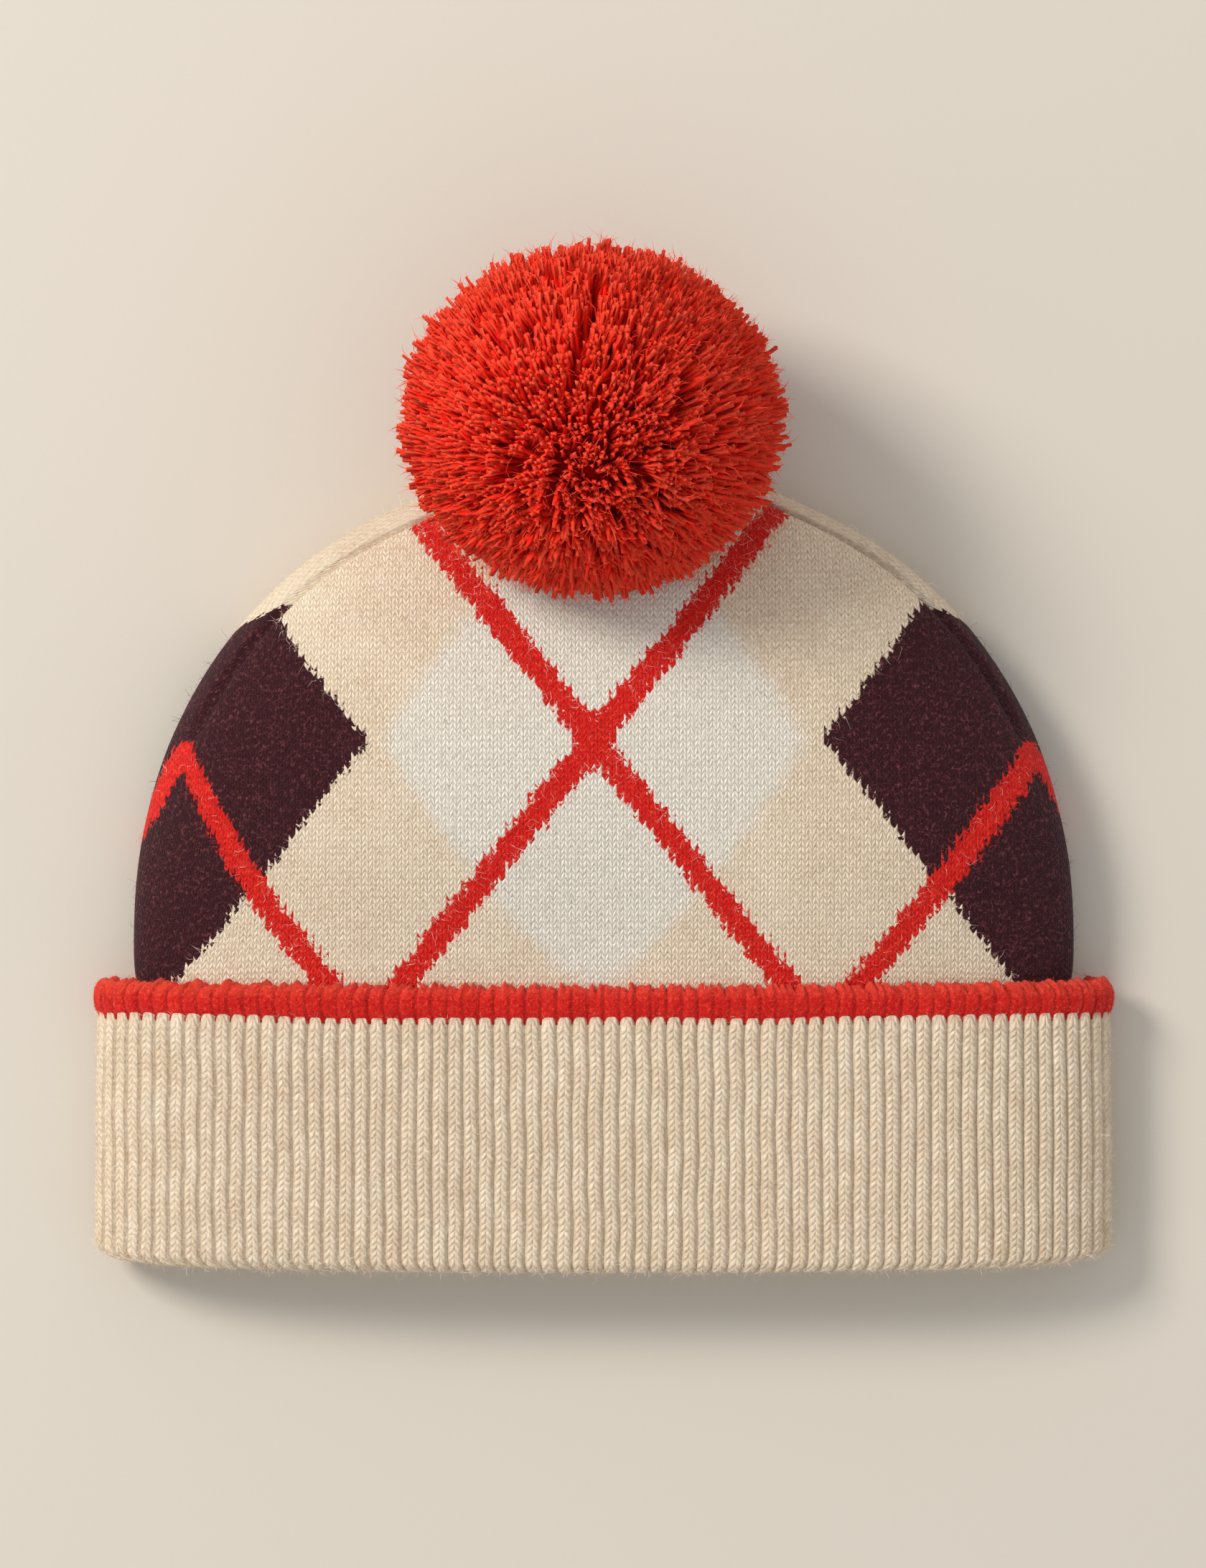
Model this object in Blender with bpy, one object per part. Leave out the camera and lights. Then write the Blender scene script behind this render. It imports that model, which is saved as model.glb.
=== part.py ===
# A knitted pompom beanie lying on its back with its ribbed cuff turned up.
# X runs across the hat, Y from the mouth to the pompom, Z up from the table. Metres.
import math
from collections import namedtuple
from random import Random

import bmesh
import bpy
from mathutils import Vector

# Heights are measured along the hat, from the ends of the fold at the lower edge of the cuff
LENGTH = 0.2430
CUFF_WIDTH = 0.240
CUFF_HEIGHT = 0.0665
TIPPING_HEIGHT = 0.0078
END_HEIGHT = CUFF_HEIGHT - TIPPING_HEIGHT
CROWN_TOP = 0.1890
# How far the middle of the fold hangs below its ends
CUFF_BOW = 0.0016
FOLD_Y = CUFF_BOW - LENGTH / 2

# Walls, and the gaps that keep the pieces apart
CROWN_WALL = 0.0022
OUTER_CUFF_WALL = 0.0030
INNER_CUFF_WALL = 0.0026
HEM_HEIGHT = 0.060
PIECE_GAP = 0.0003

# One-by-one rib: each rib is a crest and a valley
RIB_COUNT = 136
RIB_DEPTH = 0.0009
RIBBED_COLUMNS = RIB_COUNT * 2
SMOOTH_COLUMNS = RIB_COUNT // 2
CROWN_COLUMNS = 50
# How much closer the crown's columns stand where its sections bend, as a radius
CROWN_CURL = 0.025

# A lying section's lower half is pressed flat against the table
LOWER_POWER = 6.0
PRESSED = 0.0015
FINE_STEPS = 720

# A section across the lying hat: its half width, the heights of its top, its edge and its base above
# the table, and how full its shoulders are, from 2 for an ellipse to about 5 for a flat top
Section = namedtuple("Section", "height half_width top edge base fullness")

CROWN = [
    Section(height=0.0603, half_width=0.1090, top=0.0224, edge=0.0085, base=0.0036, fullness=4.2),
    Section(height=0.0735, half_width=0.1107, top=0.0252, edge=0.0090, base=0.0012, fullness=4.0),
    Section(height=0.0985, half_width=0.1090, top=0.0310, edge=0.0095, base=0.0, fullness=3.6),
    Section(height=0.1245, half_width=0.1014, top=0.0328, edge=0.0096, base=0.0, fullness=3.3),
    Section(height=0.1475, half_width=0.0878, top=0.0310, edge=0.0096, base=0.0, fullness=3.0),
    Section(height=0.1660, half_width=0.0690, top=0.0272, edge=0.0094, base=0.0, fullness=2.8),
    Section(height=0.1790, half_width=0.0460, top=0.0222, edge=0.0092, base=0.0008, fullness=2.5),
    Section(height=0.1865, half_width=0.0230, top=0.0160, edge=0.0090, base=0.0036, fullness=2.2),
    Section(height=CROWN_TOP, half_width=0.0, top=0.0090, edge=0.0090, base=0.0090, fullness=2.2),
]
ROWS_PER_SECTION = 2

# The turned-up outside of the cuff, and the layer inside it that carries on into the crown
CUFF_OUTSIDE = [
    Section(height=END_HEIGHT, half_width=0.1195, top=0.0262, edge=0.0080, base=0.0, fullness=4.6),
    Section(height=0.0031, half_width=0.1200, top=0.0250, edge=0.0078, base=0.0, fullness=4.6),
]
CUFF_LINING = [
    Section(height=0.0031, half_width=0.1166, top=0.0214, edge=0.0078, base=0.0036, fullness=4.6),
    Section(height=0.0300, half_width=0.1120, top=0.0222, edge=0.0082, base=0.0036, fullness=4.4),
    Section(height=HEM_HEIGHT, half_width=0.1090, top=0.0224, edge=0.0085, base=0.0036, fullness=4.2),
]
RIBBED_BEND_DEGREES = (45, 90)
SMOOTH_BEND_DEGREES = (135,)
SLOT_FOOT = 0.0034

# The lower corners of the cuff are rounded
CORNER_RISE = 0.0045
CORNER_POWER = 14
CORNER_HEIGHT = 0.020

# The tipping's profile: how far up it each row is, and how far in from the outside of the cuff
TippingRow = namedtuple("TippingRow", "rise inset")
TIPPING_FACE = [TippingRow(rise=0.0, inset=-0.0003), TippingRow(rise=0.0052, inset=-0.0006)]
TIPPING_ROLL = [
    TippingRow(rise=0.0072, inset=0.0003),
    TippingRow(rise=TIPPING_HEIGHT, inset=0.0015),
    TippingRow(rise=0.0, inset=OUTER_CUFF_WALL),
]

# The side seams that shape the crown run along the front, a little inside the outline
SEAM_START = 0.1150
SEAM_INSETS = {"left": 0.0064, "right": 0.0034}
SEAM_RADIUS = 0.0012
SEAM_POINTS = 16
SEAM_SIDES = 6

POMPOM_SIZE = Vector((0.0905, 0.0825, 0.0820))
POMPOM_X = -0.0027
POMPOM_CENTRE = Vector((POMPOM_X, (LENGTH - POMPOM_SIZE.y) / 2, POMPOM_SIZE.z / 2))
POMPOM_SEED = 7
PRINT_GAP = 0.0012
PRINT_COLUMNS = 24
BALL_SHARE = 0.78
LOCK_NARROWING = 0.045
LOCK_SCATTER = 0.030
LOCK_SPREAD = 0.060
LOCK_TIP = 0.035

TIE_RADIUS = 0.0015
TIE_LENGTH = 0.016
TIE_SIDES = 8
TIE_CLEARANCE = 0.0004
TIE_HEIGHT = 0.1815
TIE_DIRECTION = Vector((0.0, 0.45, 0.89)).normalized()

OATMEAL = (0.66, 0.52, 0.39, 1.0)
CREAM = (0.74, 0.67, 0.57, 1.0)
KNIT_RED = (0.64, 0.022, 0.015, 1.0)
POMPOM_RED = (0.72, 0.030, 0.010, 1.0)


def clear_scene():
    for old in list(bpy.data.objects):
        bpy.data.objects.remove(old)


def wool(name, colour):
    material = bpy.data.materials.new(name)
    material.use_nodes = True
    shader = material.node_tree.nodes["Principled BSDF"]
    shader.inputs["Base Color"].default_value = colour
    shader.inputs["Roughness"].default_value = 0.9
    shader.inputs["Metallic"].default_value = 0.0
    return material


def add_piece(name, mesh, colour):
    piece = bpy.data.objects.new(name, mesh)
    bpy.context.scene.collection.objects.link(piece)
    mesh.materials.append(wool(name + "_wool", colour))
    mesh.shade_smooth()
    mesh.set_sharp_from_angle(angle=math.radians(40))
    return piece


def cut(piece, name, mesh):
    # Takes the cutter's shape out of the piece
    tool = bpy.data.objects.new(name, mesh)
    bpy.context.scene.collection.objects.link(tool)
    tool.hide_render = True
    tool.display_type = "WIRE"
    boolean = piece.modifiers.new(name, "BOOLEAN")
    boolean.operation = "DIFFERENCE"
    boolean.solver = "EXACT"
    boolean.object = tool


def mesh_from(name, points, faces):
    # The faces are all turned to point outwards
    mesh = bpy.data.meshes.new(name)
    mesh.from_pydata([tuple(point) for point in points], [], faces)
    mesh.validate()
    shape = bmesh.new()
    shape.from_mesh(mesh)
    bmesh.ops.recalc_face_normals(shape, faces=shape.faces)
    shape.to_mesh(mesh)
    shape.free()
    return mesh


def mixed(first, second, share):
    return Section(*(a + (b - a) * share for a, b in zip(first, second)))


def inset_section(section, inset):
    return section._replace(
        half_width=section.half_width - inset,
        top=section.top - inset,
        base=section.base + inset,
    )


def curve_through(before, start, end, after, share):
    # A Catmull-Rom curve from start to end
    pull_out = (end - before) / 2
    pull_in = (after - start) / 2
    return (
        (2 * share**3 - 3 * share**2 + 1) * start
        + (share**3 - 2 * share**2 + share) * pull_out
        + (3 * share**2 - 2 * share**3) * end
        + (share**3 - share**2) * pull_in
    )


def crown_rows():
    # The table's sections with smooth ones between them. The mirrored one beyond the top closes it roundly
    last, previous = CROWN[-1], CROWN[-2]
    beyond = Section(
        height=previous.height,
        half_width=-previous.half_width,
        top=2 * last.edge - previous.top,
        edge=last.edge,
        base=2 * last.edge - previous.base,
        fullness=last.fullness,
    )
    knots = [CROWN[0], *CROWN, beyond]
    rows = []
    for first in range(1, len(CROWN)):
        for step in range(ROWS_PER_SECTION):
            four = zip(*knots[first - 1:first + 3])
            rows.append(Section(*(curve_through(*values, step / ROWS_PER_SECTION) for values in four)))
    return [*rows, last]


def section_at(rows, height):
    for low, high in zip(rows, rows[1:]):
        if low.height <= height <= high.height:
            return mixed(low, high, (height - low.height) / (high.height - low.height))
    return rows[-1]


def lie(x, height, z):
    # Puts a point of the hat on the table, with the cuff's sag and its rounded corners
    reach = abs(x) / (CUFF_WIDTH / 2)
    bow = CUFF_BOW * (1 - reach**2) * max(0.0, 1 - height / CROWN_TOP)
    corner = CORNER_RISE * reach**CORNER_POWER * max(0.0, 1 - height / CORNER_HEIGHT)
    return Vector((x, height + FOLD_Y + corner - bow, z))


def across_at(section, turn):
    # A point of the section in its own plane. The turn runs from the middle of its base over its right side
    across, up = math.sin(turn), -math.cos(turn)
    power = section.fullness if up >= 0 else LOWER_POWER
    x = section.half_width * math.copysign(abs(across) ** (2 / power), across)
    if up >= 0:
        return Vector((x, section.edge + (section.top - section.edge) * up))
    drop = section.edge - section.base
    return Vector((x, max(0.0, section.base, section.edge + (drop + min(PRESSED, drop / 3)) * up)))


def section_loop(section, columns, curl=0.0):
    # Points at equal steps round the section, closer together where it bends if there is a curl
    fine = [across_at(section, 2 * math.pi * k / FINE_STEPS) for k in range(FINE_STEPS)]
    travelled = [0.0]
    for k in range(FINE_STEPS):
        ahead = fine[(k + 1) % FINE_STEPS] - fine[k]
        behind = fine[k] - fine[k - 1]
        travelled.append(travelled[-1] + ahead.length + curl * ahead.angle(behind, 0.0))
    points = []
    k = 0
    for column in range(columns):
        target = travelled[-1] * column / columns
        while travelled[k + 1] < target:
            k += 1
        share = (target - travelled[k]) / (travelled[k + 1] - travelled[k])
        spot = fine[k].lerp(fine[(k + 1) % FINE_STEPS], share)
        points.append(lie(spot.x, section.height, spot.y))
    return points


def smooth_loop(section):
    return section_loop(section, SMOOTH_COLUMNS)


def ribbed_loop(section):
    crests = section_loop(section, RIBBED_COLUMNS)
    valleys = section_loop(inset_section(section, RIB_DEPTH), RIBBED_COLUMNS)
    return [crests[k] if k % 2 == 0 else valleys[k] for k in range(RIBBED_COLUMNS)]


def front_point(section, x):
    reach = min(1.0, abs(x) / section.half_width)
    rise = (section.top - section.edge) * math.sqrt(1 - reach**section.fullness)
    return lie(x, section.height, section.edge + rise)


def join_loops(first, first_count, second, second_count):
    # Faces from a loop to the next, which has as many points or a whole number of times fewer
    step = first_count // second_count
    faces = []
    for k in range(second_count):
        start = first + k * step
        around = [start + j for j in range(step)] + [first + (k + 1) * step % first_count]
        near, far = second + k, second + (k + 1) % second_count
        if step == 1:
            faces.append((around[0], around[1], far, near))
            continue
        middle = step // 2
        faces.extend((around[j], around[j + 1], near) for j in range(middle))
        faces.append((around[middle], far, near))
        faces.extend((around[j], around[j + 1], far) for j in range(middle, step))
    return faces


def wall_mesh(name, loops):
    # One closed wall from loops that run round its profile and end where they began
    points, starts, faces = [], [], []
    for one in loops:
        starts.append(len(points))
        points.extend(one)
    for k, one in enumerate(loops):
        after = (k + 1) % len(loops)
        following = loops[after]
        if len(one) >= len(following):
            faces.extend(join_loops(starts[k], len(one), starts[after], len(following)))
        else:
            back = join_loops(starts[after], len(following), starts[k], len(one))
            faces.extend(face[::-1] for face in back)
    return mesh_from(name, points, faces)


def dome_mesh(name, rows, columns, closed=False):
    # The crown's outer skin from its hem to its top. A closed one has its hem filled
    points = [point for row in rows[:-1] for point in section_loop(row, columns, CROWN_CURL)]
    top = len(points)
    points.append(lie(0.0, rows[-1].height, rows[-1].edge))
    faces = []
    for k in range(len(rows) - 2):
        faces.extend(join_loops(k * columns, columns, (k + 1) * columns, columns))
    last = (len(rows) - 2) * columns
    faces.extend((last + k, last + (k + 1) % columns, top) for k in range(columns))
    if closed:
        faces.append(tuple(range(columns)))
    return mesh_from(name, points, faces)


def rod_mesh(name, path, radius, sides):
    points, faces = [], []
    for k, centre in enumerate(path):
        along = (path[min(k + 1, len(path) - 1)] - path[max(k - 1, 0)]).normalized()
        across = along.cross(Vector((0, 0, 1))).normalized()
        up = across.cross(along)
        for side in range(sides):
            turn = 2 * math.pi * side / sides
            points.append(centre + (across * math.cos(turn) + up * math.sin(turn)) * radius)
    for k in range(len(path) - 1):
        faces.extend(join_loops(k * sides, sides, (k + 1) * sides, sides))
    faces.append(tuple(range(sides)))
    faces.append(tuple(range(len(points) - sides, len(points))))
    return mesh_from(name, points, faces)


def seam_path(rows, side):
    # Keeps its distance from the outline, from the side of the crown up to its top
    sign = -1 if side == "left" else 1
    outline = [Vector((row.half_width, row.height)) for row in rows if row.height >= SEAM_START]
    path = []
    for k in range(SEAM_POINTS):
        place = k / (SEAM_POINTS - 1) * (len(outline) - 2)
        low = min(int(place), len(outline) - 3)
        along = (outline[low + 2] - outline[max(low - 1, 0)]).normalized()
        inwards = Vector((-along.y, along.x))
        spot = outline[low].lerp(outline[low + 1], place - low) + inwards * SEAM_INSETS[side]
        path.append(front_point(section_at(rows, spot.y), sign * spot.x))
    return path


def make_crown(rows):
    crown = add_piece("crown", dome_mesh("crown", rows, CROWN_COLUMNS), CREAM)
    wall = crown.modifiers.new("wall", "SOLIDIFY")
    wall.thickness = CROWN_WALL
    wall.offset = -1
    wall.use_even_offset = True
    for side in SEAM_INSETS:
        cut(crown, side + "_seam", rod_mesh(side + "_seam", seam_path(rows, side), SEAM_RADIUS, SEAM_SIDES))


def make_cuff():
    # The band runs down the outside, round the fold and back up inside, and then down again behind
    outer_foot, lining_foot = CUFF_OUTSIDE[-1], inset_section(CUFF_LINING[0], INNER_CUFF_WALL)

    def bend(degrees):
        turn = math.radians(degrees)
        section = mixed(outer_foot, lining_foot, (1 - math.cos(turn)) / 2)
        return section._replace(height=outer_foot.height * (1 - math.sin(turn)))

    loops = [ribbed_loop(section) for section in CUFF_OUTSIDE]
    loops += [ribbed_loop(bend(degrees)) for degrees in RIBBED_BEND_DEGREES]
    loops += [smooth_loop(bend(degrees)) for degrees in SMOOTH_BEND_DEGREES]
    loops += [smooth_loop(inset_section(section, INNER_CUFF_WALL)) for section in CUFF_LINING]
    loops += [smooth_loop(section) for section in reversed(CUFF_LINING[1:])]
    loops.append(smooth_loop(CUFF_LINING[0]._replace(height=SLOT_FOOT)))
    loops.append(smooth_loop(inset_section(outer_foot, OUTER_CUFF_WALL)._replace(height=SLOT_FOOT)))
    loops.append(smooth_loop(inset_section(CUFF_OUTSIDE[0], OUTER_CUFF_WALL)))
    add_piece("cuff", wall_mesh("cuff", loops), OATMEAL)


def make_tipping():
    # The coloured edge stands on the end of the turned-up band
    foot = END_HEIGHT + PIECE_GAP

    def row(profile):
        height = foot + profile.rise * (1 - PIECE_GAP / TIPPING_HEIGHT)
        section = inset_section(CUFF_OUTSIDE[0], profile.inset)
        return section._replace(height=height, base=max(0.0, profile.inset))

    loops = [ribbed_loop(row(profile)) for profile in TIPPING_FACE]
    loops += [smooth_loop(row(profile)) for profile in TIPPING_ROLL]
    add_piece("cuff_tipping", wall_mesh("cuff_tipping", loops), KNIT_RED)


def fit_to_size(corners, size, centre):
    # Stretches the corners along each axis until their box has the size and the centre
    for axis in range(3):
        values = [corner.co[axis] for corner in corners]
        low, high = min(values), max(values)
        for corner in corners:
            share = (corner.co[axis] - low) / (high - low)
            corner.co[axis] = centre[axis] + (share - 0.5) * size[axis]


def make_pompom(rows):
    # Locks stand all over a ball, and the crown's rounded top leaves its print in it
    draw = Random(POMPOM_SEED)
    shape = bmesh.new()
    bmesh.ops.create_icosphere(shape, subdivisions=3, radius=1.0)
    for corner in shape.verts:
        corner.co += Vector((draw.uniform(-1, 1) for _ in range(3))) * LOCK_SCATTER
        corner.co = corner.co.normalized() * BALL_SHARE
    tufts = shape.faces[:]
    bmesh.ops.inset_individual(shape, faces=tufts, thickness=LOCK_NARROWING, depth=0.0)
    for tuft in tufts:
        reach = 1 - LOCK_TIP - draw.uniform(0, LOCK_SPREAD)
        for corner in tuft.verts:
            corner.co = corner.co.normalized() * reach
    bmesh.ops.poke(shape, faces=tufts, offset=LOCK_TIP)
    fit_to_size(shape.verts, POMPOM_SIZE, POMPOM_CENTRE)
    mesh = bpy.data.meshes.new("pompom")
    shape.to_mesh(mesh)
    shape.free()
    pompom = add_piece("pompom", mesh, POMPOM_RED)
    loosened = [inset_section(row, -PRINT_GAP) for row in rows[:-1]]
    loosened.append(rows[-1]._replace(height=CROWN_TOP + PRINT_GAP))
    cut(pompom, "crown_print", dome_mesh("crown_print", loosened, PRINT_COLUMNS, closed=True))
    return pompom


def make_tie(rows, pompom):
    # The thread that holds the pompom, from the crown's surface into the middle of the ball
    foot = front_point(section_at(rows, TIE_HEIGHT), POMPOM_X) + TIE_DIRECTION * TIE_RADIUS
    tip = foot + TIE_DIRECTION * TIE_LENGTH
    add_piece("pompom_tie", rod_mesh("pompom_tie", [foot, tip], TIE_RADIUS, TIE_SIDES), POMPOM_RED)
    hole = [foot - TIE_DIRECTION * TIE_LENGTH / 2, tip + TIE_DIRECTION * TIE_CLEARANCE]
    cut(pompom, "tie_hole", rod_mesh("tie_hole", hole, TIE_RADIUS + TIE_CLEARANCE, TIE_SIDES))


def main():
    clear_scene()
    rows = crown_rows()
    make_crown(rows)
    make_cuff()
    make_tipping()
    pompom = make_pompom(rows)
    make_tie(rows, pompom)


main()
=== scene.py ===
import math

import bpy
import numpy as np
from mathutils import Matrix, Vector


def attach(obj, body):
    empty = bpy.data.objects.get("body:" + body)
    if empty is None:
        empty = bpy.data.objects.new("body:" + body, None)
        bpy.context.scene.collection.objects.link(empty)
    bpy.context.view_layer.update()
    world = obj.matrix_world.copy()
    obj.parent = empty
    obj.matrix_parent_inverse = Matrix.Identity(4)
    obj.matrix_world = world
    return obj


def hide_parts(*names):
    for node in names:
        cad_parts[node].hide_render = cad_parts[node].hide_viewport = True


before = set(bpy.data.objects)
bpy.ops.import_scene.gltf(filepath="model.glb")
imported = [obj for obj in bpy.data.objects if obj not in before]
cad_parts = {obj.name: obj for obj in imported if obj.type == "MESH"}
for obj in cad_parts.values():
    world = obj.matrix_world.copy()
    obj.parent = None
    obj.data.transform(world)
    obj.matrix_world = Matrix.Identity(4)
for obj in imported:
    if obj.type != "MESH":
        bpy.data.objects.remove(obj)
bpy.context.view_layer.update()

# The hat lies on its back: X across, Y from the mouth to the pompom, Z up. Metres.
hat = {
    "length": 0.2430,
    "cuffWidth": 0.240,
    "cuffHeight": 0.0665,
    "tippingHeight": 0.0078,
    "crownTop": 0.1890,
    "bow": 0.0016,          # the middle of the fold hangs below its ends
    "cornerRise": 0.0026,   # the lower corners of the cuff are rounded
    "cornerPower": 14,
    "cornerHeight": 0.020,
    "lowerPower": 6.0,      # how flat a section is pressed underneath
    "pressed": 0.0015,
    "ringSteps": 1440,      # short lines that a section's outline is measured in
}
foldY = hat["bow"] - hat["length"] / 2
tippingFoot = hat["cuffHeight"] - hat["tippingHeight"]
fields = ("height", "halfWidth", "top", "edge", "base", "fullness")


def say(stage):
    print("beanie:", stage)


def linear(red, green, blue):
    # A screen colour from 0 to 255 as the shader's linear light
    def one(value):
        value = value / 255
        return value / 12.92 if value <= 0.04045 else ((value + 0.055) / 1.055) ** 2.4
    return (one(red), one(green), one(blue), 1.0)


# Sections and rings

def mixRows(first, second, share):
    return {f: first[f] + (second[f] - first[f]) * share for f in fields}


def insetRow(row, inset):
    changed = dict(row)
    changed["halfWidth"] = row["halfWidth"] - inset
    changed["top"] = row["top"] - inset
    changed["base"] = row["base"] + inset
    return changed


def tableRows(table):
    return [dict(zip(fields, values)) for values in table]


def smoothRows(rows, steps):
    # Rows of a closed dome with smooth ones between them; the last one is the closed top
    last, previous = rows[-1], rows[-2]
    beyond = dict(previous)
    beyond["halfWidth"] = -previous["halfWidth"]
    beyond["top"] = 2 * last["edge"] - previous["top"]
    beyond["base"] = 2 * last["edge"] - previous["base"]
    beyond["edge"] = last["edge"]
    knots = [rows[0], *rows, beyond]
    made = []
    for k in range(1, len(rows)):
        p0, p1, p2, p3 = knots[k - 1:k + 3]
        for step in range(steps):
            t = step / steps
            made.append({
                f: (2 * t**3 - 3 * t**2 + 1) * p1[f] + (t**3 - 2 * t**2 + t) * (p2[f] - p0[f]) / 2
                + (3 * t**2 - 2 * t**3) * p2[f] + (t**3 - t**2) * (p3[f] - p1[f]) / 2
                for f in fields
            })
    return [*made, last]


def comingIn(height, start, over):
    # From 0 below a height to 1 above it
    return min(1.0, max(0.0, (height - start) / over))


def ring(row):
    # The section's outline from the middle of its base over its right side, and the length along it
    turn = np.linspace(0, 2 * np.pi, hat["ringSteps"] + 1)
    across, up = np.sin(turn), -np.cos(turn)
    power = np.where(up >= 0, row["fullness"], hat["lowerPower"])
    x = row["halfWidth"] * np.sign(across) * np.abs(across) ** (2 / power)
    drop = row["edge"] - row["base"]
    high = row["edge"] + (row["top"] - row["edge"]) * up
    low = row["edge"] + (drop + min(hat["pressed"], drop / 3)) * up
    z = np.where(up >= 0, high, np.maximum(np.maximum(low, row["base"]), 0.0))
    points = np.stack([x, z], axis=1)
    steps = np.linalg.norm(np.diff(points, axis=0), axis=1)
    return points, np.concatenate([[0], np.cumsum(steps)])


def alongRing(points, travelled, distance):
    # Points of the outline at some distances along it, and which way is outwards there
    def spotsAt(where):
        return np.stack([np.interp(where, travelled, points[:, k]) for k in (0, 1)], axis=1)

    reach = 0.0004
    along = spotsAt(distance + reach) - spotsAt(distance - reach)
    along /= np.maximum(np.linalg.norm(along, axis=1, keepdims=True), 1e-9)
    return spotsAt(distance), np.stack([along[:, 1], -along[:, 0]], axis=1)


def layOnTable(x, height, z):
    # The sag of the fold between its ends, and the cuff's rounded lower corners
    reach = np.abs(x) / (hat["cuffWidth"] / 2)
    bow = hat["bow"] * (1 - reach**2) * np.maximum(0, 1 - height / hat["crownTop"])
    low = np.maximum(0, 1 - height / hat["cornerHeight"])
    corner = hat["cornerRise"] * reach ** hat["cornerPower"] * low
    return np.stack([x, height + foldY + corner - bow, z], axis=-1)


def ripple(x, y, z, size, draw):
    # Smooth unevenness, about one high, from six waves of about the size
    total = 0
    for _ in range(6):
        way = draw.normal(size=3)
        way *= (0.6 + 0.8 * draw.random()) / np.linalg.norm(way) / size
        total = total + np.sin(2 * np.pi * (way[0] * x + way[1] * y + way[2] * z + draw.random()))
    return total / 3


# Knitted pieces are grids of stitches, laid round the hat

def nothingSelected():
    if bpy.context.mode != "OBJECT":
        bpy.ops.object.mode_set(mode="OBJECT")
    bpy.ops.object.select_all(action="DESELECT")


def selectOnly(*pieces):
    nothingSelected()
    for piece in pieces:
        piece.select_set(True)
    bpy.context.view_layer.objects.active = pieces[0]


def knitGrid(name, points, stitches):
    # A grid as large as the array of points, with the stitch each corner is at in its UV map
    nothingSelected()
    rows, columns = points.shape[:2]
    bpy.ops.mesh.primitive_grid_add(x_subdivisions=columns - 1, y_subdivisions=rows - 1, size=2)
    piece = bpy.context.object
    piece.name = name
    mesh = piece.data
    flat = np.empty(len(mesh.vertices) * 3)
    mesh.vertices.foreach_get("co", flat)
    flat = flat.reshape(-1, 3)
    column = np.rint((flat[:, 0] + 1) / 2 * (columns - 1)).astype(int)
    row = np.rint((flat[:, 1] + 1) / 2 * (rows - 1)).astype(int)
    mesh.vertices.foreach_set("co", points[row, column].ravel())
    corners = np.empty(len(mesh.loops), int)
    mesh.loops.foreach_get("vertex_index", corners)
    mesh.uv_layers.active.data.foreach_set("uv", stitches[row, column][corners].ravel())
    mesh.uv_layers.active.name = "stitches"
    mesh.update()
    return piece


def joinPieces(pieces, name):
    selectOnly(*pieces)
    bpy.ops.object.join()
    pieces[0].name = name
    return pieces[0]


def closeSeams(piece):
    selectOnly(piece)
    bpy.ops.object.mode_set(mode="EDIT")
    bpy.ops.mesh.select_all(action="SELECT")
    bpy.ops.mesh.remove_doubles(threshold=1e-5)
    bpy.ops.mesh.normals_make_consistent(inside=False)
    bpy.ops.object.mode_set(mode="OBJECT")
    bpy.ops.object.shade_smooth()
    return piece


def giveWall(piece, thickness):
    # The wall grows inwards from the knitted face
    selectOnly(piece)
    wall = piece.modifiers.new("wall", "SOLIDIFY")
    wall.thickness = thickness
    wall.offset = -1
    bpy.ops.object.modifier_apply(modifier="wall")


def finishPiece(piece, material, slot, *nodes):
    # What the piece is made of, what it moves with, and the solids it stands for
    piece.data.materials.clear()
    piece.data.materials.append(material)
    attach(piece, "root")
    if nodes:
        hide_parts(*nodes)


# Crown

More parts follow.
